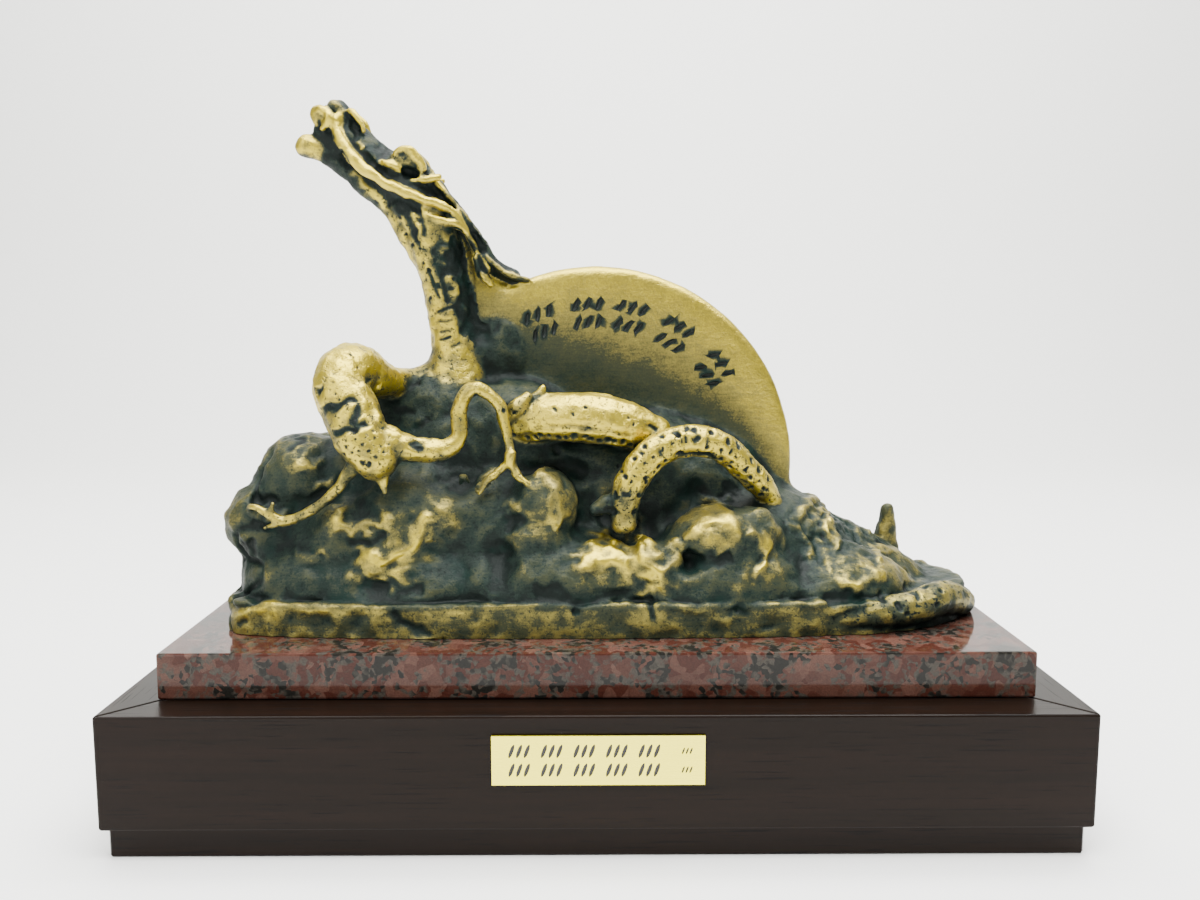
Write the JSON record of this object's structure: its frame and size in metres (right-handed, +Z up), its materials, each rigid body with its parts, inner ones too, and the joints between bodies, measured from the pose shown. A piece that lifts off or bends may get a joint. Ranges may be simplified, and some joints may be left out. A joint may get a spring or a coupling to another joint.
{
  "type": "dragon sculpture",
  "caption": "Cast bronze dragon rearing from rocks and cloud before a sun disc, on a granite slab and a hollow dark wooden plinth with a brass nameplate.",
  "frame": {"origin": "centre of the object's bounding box at its underside, where it stands", "axes": "+Z up, +X along the plinth's long side to the viewer's right, -Y out of the front with the nameplate"},
  "size_m": [0.41, 0.2134, 0.3236],
  "materials": {
    "bronze": "cast bronze, dark green-grey patina in the hollows, rubbed to pale gold on the raised forms",
    "granite": "polished red granite with dark grains",
    "wood": "dark stained wood, satin lacquer",
    "nameplate_brass": "fine brushed brass plate"
  },
  "bodies": {
    "root": {"dragon_casting": "bronze", "granite_slab": "granite", "plinth_rail_front": "wood", "plinth_rail_right": "wood", "plinth_rail_back": "wood", "plinth_rail_left": "wood", "plinth_base_board": "wood", "nameplate": "nameplate_brass"}
  },
  "joints": []
}
